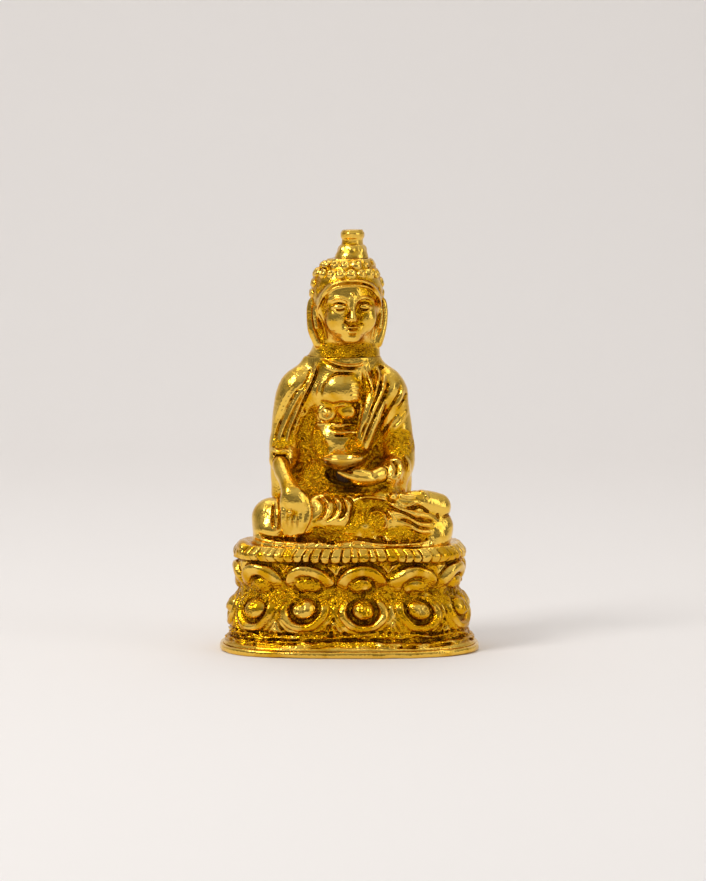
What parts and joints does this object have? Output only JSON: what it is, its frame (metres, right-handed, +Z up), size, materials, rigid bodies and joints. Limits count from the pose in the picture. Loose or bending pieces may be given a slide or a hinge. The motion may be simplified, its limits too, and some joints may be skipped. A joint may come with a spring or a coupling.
{
  "type": "buddha statue",
  "caption": "Small cast brass seated figure in robes with an alms bowl, on an oval double lotus pedestal with a beaded rim, a closed base plate and a crown finial.",
  "frame": {"origin": "centre of the base plate's underside", "axes": "+Z up, +X towards the figure's left side, and the figure faces -Y"},
  "size_m": [0.031, 0.0192, 0.05],
  "materials": {
    "cast_brass": "polished on raised areas, cast grain in the recesses",
    "drawn_brass": "drawn wire",
    "stick_wood": "whittled, unvarnished",
    "paper": "tightly wound handmade paper",
    "thread": "spun cotton"
  },
  "bodies": {
    "root": {"base_plate": "cast_brass", "lotus_pedestal": "cast_brass", "seated_body": "cast_brass", "head": "cast_brass", "crown_finial": "cast_brass", "right_hand": "cast_brass", "left_hand": "cast_brass", "alms_bowl": "cast_brass", "locking_pins": "drawn_brass", "life_stick": "stick_wood", "mantra_rolls": "paper", "roll_threads": "thread"}
  },
  "joints": []
}
